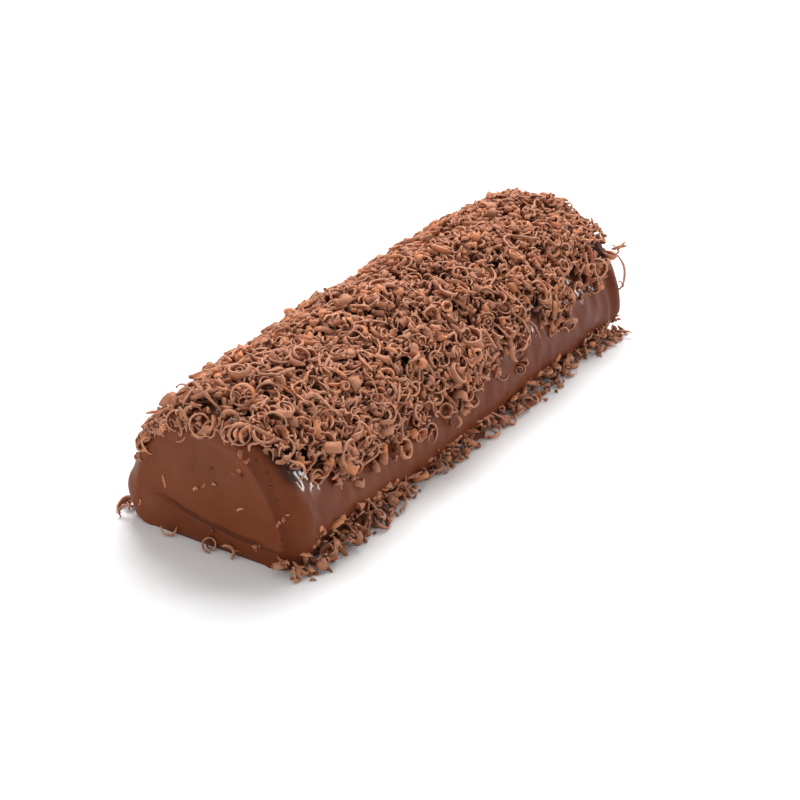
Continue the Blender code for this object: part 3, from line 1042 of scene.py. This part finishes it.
# %% Glaze drops
GLAZE_DROPS = (
    (31.0, 43.7, 0.7), (32.4, 40.9, 0.5), (32.8, 37.9, 0.8), (25.8, 47.5, 0.7), (35.5, 32.8, 0.5),
    (36.9, 14.8, 0.6), (38.2, 11.5, 0.8), (35.6, 6.9, 0.6), (2.3, 8.1, 1.1), (37.6, 18.5, 0.4),
    (18.2, 38.6, 0.9), (3.2, 37.4, 0.6),
)
DROP_GLOSS = 0.6


def make_drops():
    shape = bmesh.new()
    for x, z, radius in GLAZE_DROPS:
        place, _ = behind_end(x, z)
        where = Matrix.Translation(Vector(place) * TO_METRES)
        bmesh.ops.create_icosphere(shape, subdivisions=3, radius=radius * TO_METRES, matrix=where)
    mesh = bpy.data.meshes.new("glaze_drops")
    shape.to_mesh(mesh)
    shape.free()
    mesh.shade_smooth()
    finish = Finish("glossy_drop")
    finish.surface(Base_Color=GLAZE_DEEP, Roughness=BODY_ROUGHNESS, Specular_IOR_Level=0.08)
    finish.surface(Coat_Weight=DROP_GLOSS, Coat_Roughness=0.04)
    mesh.materials.append(finish.material)
    return add_object("glaze_drops", mesh)


glaze_drops = make_drops()
print("glaze drops:", len(GLAZE_DROPS))

# %% [markdown]
# ## One mesh for each kind
#
# Thousands of small objects are slow, so all shavings of a kind become one mesh. They share their layout of
# faces, so the whole list of faces is one small table repeated with an offset, and numpy fills the mesh at
# once. Two numbers are kept on every face for the material: a random tone for the shaving it belongs to, and
# which side of the ribbon it is. Every point also keeps how deep it lies buried, for the painted shade.

# %% Join each kind
def mesh_of_kind(name, pieces, steps, rng):
    quads, sides = ribbon_faces(steps)
    points = np.concatenate([place for place, _ in pieces])
    per_piece = 4 * (steps + 1)
    offsets = np.arange(len(pieces)) * per_piece
    faces = (quads[None, :, :] + offsets[:, None, None]).reshape(-1, 4)
    mesh = bpy.data.meshes.new(name)
    mesh.vertices.add(len(points))
    mesh.vertices.foreach_set("co", (points * TO_METRES).ravel())
    mesh.loops.add(faces.size)
    mesh.loops.foreach_set("vertex_index", faces.ravel().astype(np.int32))
    mesh.polygons.add(len(faces))
    mesh.polygons.foreach_set("loop_start", np.arange(len(faces), dtype=np.int32) * 4)
    mesh.polygons.foreach_set("use_smooth", np.ones(len(faces), dtype=bool))
    mesh.update(calc_edges=True)
    tone = mesh.attributes.new("tone", "FLOAT", "FACE")
    tone.data.foreach_set("value", np.repeat(rng.random(len(pieces)), len(quads)))
    side = mesh.attributes.new("ribbon_side", "FLOAT", "FACE")
    side.data.foreach_set("value", np.tile(sides / 2.0, len(pieces)))
    shade_depth = mesh.attributes.new("shade_depth", "FLOAT", "POINT")
    shade_depth.data.foreach_set("value", np.concatenate([depth for _, depth in pieces]))
    return add_object(name, mesh)


PIECES = [mesh_of_kind(name, SHAVINGS[name], KINDS[name]["steps"], rng) for name in KINDS]
for piece in PIECES:
    print(piece.name, 2 * len(piece.data.polygons), "triangles")

# %% [markdown]
# ## The look of a shaving
#
# Grated milk chocolate is matte, because the blade tears its surface. The outer side is lighter, the inner
# side that slid on the blade is smoother, darker and redder, and the thin edges are palest. Each shaving has
# its own tone, a few are a warmer, almost orange brown, and painted shade darkens all where they lie buried.

# %% Shaving material
OUTER_BROWN = (0.455, 0.192, 0.108, 1.0)
INNER_BROWN = (0.345, 0.114, 0.055, 1.0)
EDGE_BROWN = (0.62, 0.335, 0.216, 1.0)
WARM_BROWN = (0.54, 0.196, 0.079, 1.0)
BURIED_SHADE_BROWN = (0.080, 0.028, 0.016, 1.0)
WARM_SHARE = 0.8
EDGE_SHARE = 0.6
BURIED_SHADE_SHARE = 0.5
BURIED_SHADE_RANGE = (1.6, 7.0)


def make_shaving_finish():
    finish = Finish("milk_chocolate_shavings")
    place = finish.position()
    tone = finish.attribute("tone")
    side = finish.attribute("ribbon_side")
    grain = finish.noise(place, 700.0, 3.0, 0.6)
    cloudy = finish.noise(place, 240.0, 2.0)
    is_outer = side.rise(0.55, 0.95)
    is_edge = 1 - abs(side - 0.5).rise(0.05, 0.45)
    colour = finish.blend(is_outer, INNER_BROWN, OUTER_BROWN)
    colour = finish.blend(tone.rise(0.72, 0.98) * WARM_SHARE, colour, WARM_BROWN)
    colour = finish.blend(is_edge * EDGE_SHARE, colour, EDGE_BROWN)
    colour = finish.tint(colour, 0.90 + tone * 0.30 + (cloudy - 0.5) * 0.6 + (grain - 0.5) * 0.5)
    # painted shade: each shaving turns towards a deep brown where it lies buried under others
    deep = finish.attribute("shade_depth").rise(*BURIED_SHADE_RANGE)
    colour = finish.blend(deep * BURIED_SHADE_SHARE, colour, BURIED_SHADE_BROWN)
    finish.surface(Base_Color=colour, Roughness=0.50 + grain * 0.22, Specular_IOR_Level=0.25)
    finish.surface(Normal=finish.relief(grain, 0.00045, 0.9))
    return finish.material


shaving_finish = make_shaving_finish()
for piece in PIECES:
    piece.data.materials.append(shaving_finish)
print("shaving finish:", len(shaving_finish.node_tree.nodes), "nodes")

# %% [markdown]
# ## Floor and light
#
# The cake stands on a plain white sweep. One large soft lamp hangs over it and a little behind, another
# stands behind on the right and gives the glossy flank its bright streaks, and a weak wide one fills the near
# side. The pale surroundings do the rest.

# %% Stage
FLOOR_HALF = 4.0
FLOOR_WHITE = (0.86, 0.86, 0.86, 1.0)
WORLD_WHITE = (1.0, 1.0, 1.0, 1.0)
WORLD_STRENGTH = 0.60
LAMPS = (
    ("overhead", (-0.40, 0.70, 1.25), (0.8, 0.8), 26.0),
    ("behind_right", (0.96, 1.19, 0.42), (0.25, 0.75), 6.0),
    ("near_fill", (-0.40, -1.65, 0.90), (1.2, 1.2), 5.5),
)


def make_floor():
    corners = [(x * FLOOR_HALF, y * FLOOR_HALF, 0.0) for x, y in ((-1, -1), (1, -1), (1, 1), (-1, 1))]
    mesh = bpy.data.meshes.new("floor")
    mesh.from_pydata(corners, [], [(0, 1, 2, 3)])
    finish = Finish("white_sweep")
    finish.surface(Base_Color=FLOOR_WHITE, Roughness=0.9, Specular_IOR_Level=0.1)
    mesh.materials.append(finish.material)
    floor = add_object("floor", mesh)


def make_lamp(name, place, size, power):
    data = bpy.data.lights.new(name, "AREA")
    data.shape = "RECTANGLE"
    data.size, data.size_y = size
    data.energy = power
    lamp = add_object(name, data)
    lamp.location = place
    lamp.rotation_euler = (-Vector(place)).to_track_quat("-Z", "Y").to_euler()


def make_world():
    world = bpy.data.worlds.new("surroundings")
    world.use_nodes = True
    background = world.node_tree.nodes["Background"]
    background.inputs["Color"].default_value = WORLD_WHITE
    background.inputs["Strength"].default_value = WORLD_STRENGTH
    bpy.context.scene.world = world


make_floor()
make_world()
for lamp in LAMPS:
    make_lamp(*lamp)
bpy.context.scene.view_settings.view_transform = "Standard"
print("lamps:", [name for name, *_ in LAMPS])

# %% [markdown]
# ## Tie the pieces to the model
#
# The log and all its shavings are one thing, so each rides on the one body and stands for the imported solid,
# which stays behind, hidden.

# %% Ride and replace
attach(glazed_log, "root")
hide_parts(NODE)
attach(glaze_drops, "root")
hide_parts(NODE)
for piece in PIECES:
    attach(piece, "root")
    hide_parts(NODE)
